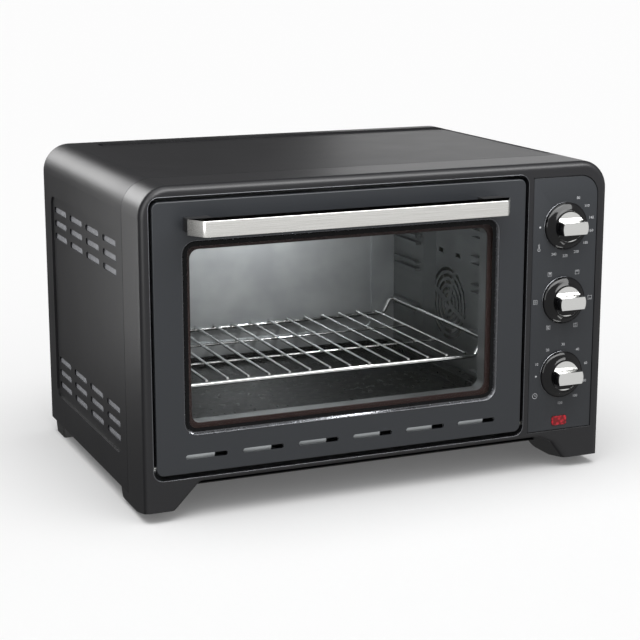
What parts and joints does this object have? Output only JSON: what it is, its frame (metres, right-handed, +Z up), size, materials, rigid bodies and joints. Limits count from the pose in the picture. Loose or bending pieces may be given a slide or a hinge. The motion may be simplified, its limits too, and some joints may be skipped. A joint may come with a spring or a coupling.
{
  "type": "rotisserie oven",
  "caption": "Counter-top electric oven with a drop-down glass door, rotary knobs, wire rack, drip tray, fan and rotisserie drive.",
  "frame": {"origin": "on the supporting surface, midway between the sides, midway between the handle's front and the rear spacers", "axes": "+X to the right seen from the front, +Y towards the back, +Z up"},
  "size_m": [0.55, 0.436, 0.356],
  "materials": {
    "cabinet_paint": "black satin powder coat",
    "bezel_plastic": "black satin moulded plastic",
    "panel_paint": "anthracite satin coat",
    "foot_plastic": "black moulded plastic",
    "zinc_steel": "zinc plated sheet steel",
    "cavity_steel": "galvanised sheet steel",
    "seal_rubber": "heat resistant seal",
    "heater_sheath": "heat stained steel sheath",
    "bush_ceramic": "unglazed steatite",
    "motor_steel": "plain steel can",
    "fan_aluminium": "pressed aluminium",
    "switch_plastic": "natural phenolic and nylon",
    "bright_wire": "plated round wire",
    "tray_enamel": "black vitreous enamel",
    "polished_steel": "bright polished",
    "handle_steel": "fine brushed stainless steel",
    "handle_plastic": "black moulded plastic",
    "knob_plastic": "gloss black moulded plastic",
    "window_glass": "clear toughened glass",
    "lamp_lens": "red translucent plastic",
    "lamp_glass": "small neon lamp"
  },
  "bodies": {
    "cabinet": {"cabinet_wrap": "cabinet_paint", "base_plate": "cabinet_paint", "rear_cover": "cabinet_paint", "front_bezel": "bezel_plastic", "control_panel": "panel_paint", "rear_foot_left": "foot_plastic", "rear_foot_right": "foot_plastic", "rear_spacers": "foot_plastic", "cord_gland": "foot_plastic", "rear_screws": "zinc_steel", "heat_shield": "zinc_steel", "fan_housing": "zinc_steel", "control_bracket": "zinc_steel", "temperature_probe": "zinc_steel", "cavity_left_wall": "cavity_steel", "cavity_right_wall": "cavity_steel", "cavity_roof": "cavity_steel", "cavity_floor": "cavity_steel", "cavity_back": "cavity_steel", "cavity_front_frame": "cavity_steel", "cavity_gasket": "seal_rubber", "heater_top_front": "heater_sheath", "heater_top_rear": "heater_sheath", "heater_bottom_front": "heater_sheath", "heater_bottom_rear": "heater_sheath", "heater_bushes": "bush_ceramic", "convection_motor": "motor_steel", "rotisserie_motor": "motor_steel", "thermostat": "switch_plastic", "selector_switch": "switch_plastic", "timer": "switch_plastic", "indicator_lens": "lamp_lens", "indicator_lamp": "lamp_glass"},
    "door": {"door_outer_panel": "panel_paint", "window_trim": "polished_steel", "door_glass": "window_glass", "glass_gasket": "seal_rubber", "door_inner_frame": "cavity_steel", "door_vent_baffle": "cavity_steel", "door_hinge_blocks": "zinc_steel", "door_hinge_pins": "zinc_steel", "door_arms": "zinc_steel", "handle_trim": "handle_steel", "handle_grip": "handle_plastic", "handle_screws": "zinc_steel"},
    "rack": {"rack_frame": "bright_wire", "rack_wires": "bright_wire"},
    "tray": {"drip_tray": "tray_enamel"},
    "fan": {"fan_wheel": "fan_aluminium"},
    "spit_drive": {"drive_socket": "zinc_steel"},
    "thermostat_knob": {"thermostat_knob_base": "knob_plastic", "thermostat_knob_grip": "polished_steel", "thermostat_shaft": "zinc_steel"},
    "selector_knob": {"selector_knob_base": "knob_plastic", "selector_knob_grip": "polished_steel", "selector_shaft": "zinc_steel"},
    "timer_knob": {"timer_knob_base": "knob_plastic", "timer_knob_grip": "polished_steel", "timer_shaft": "zinc_steel"}
  },
  "joints": [
    {"name": "door_hinge", "type": "hinge", "parent": "cabinet", "child": "door", "pos_m": [0, -0.17, 0.058], "axis": [1, 0, 0], "range_deg": [0, 90]},
    {"name": "rack_slide", "type": "slide", "parent": "cabinet", "child": "rack", "axis": [0, -1, 0], "range_m": [0, 0.1495]},
    {"name": "tray_slide", "type": "slide", "parent": "cabinet", "child": "tray", "axis": [0, -1, 0], "range_m": [0, 0.0475]},
    {"name": "fan_spin", "type": "hinge", "parent": "cabinet", "child": "fan", "pos_m": [0.172, -0.013, 0.168], "axis": [1, 0, 0], "continuous": true},
    {"name": "spit_drive_spin", "type": "hinge", "parent": "cabinet", "child": "spit_drive", "pos_m": [-0.243, -0.01, 0.197], "axis": [1, 0, 0], "continuous": true},
    {"name": "thermostat_turn", "type": "hinge", "parent": "cabinet", "child": "thermostat_knob", "pos_m": [0.2216, -0.178, 0.2845], "axis": [0, 1, 0], "range_deg": [0, 300]},
    {"name": "selector_turn", "type": "hinge", "parent": "cabinet", "child": "selector_knob", "pos_m": [0.2216, -0.178, 0.1995], "axis": [0, 1, 0], "range_deg": [0, 300]},
    {"name": "timer_turn", "type": "hinge", "parent": "cabinet", "child": "timer_knob", "pos_m": [0.2216, -0.178, 0.113], "axis": [0, 1, 0], "range_deg": [0, 300]}
  ],
  "couplings": [
    {"joint": "rack_slide", "follows": "door_hinge", "m_per_rad": 0.095},
    {"joint": "tray_slide", "follows": "door_hinge", "m_per_rad": 0.03}
  ]
}
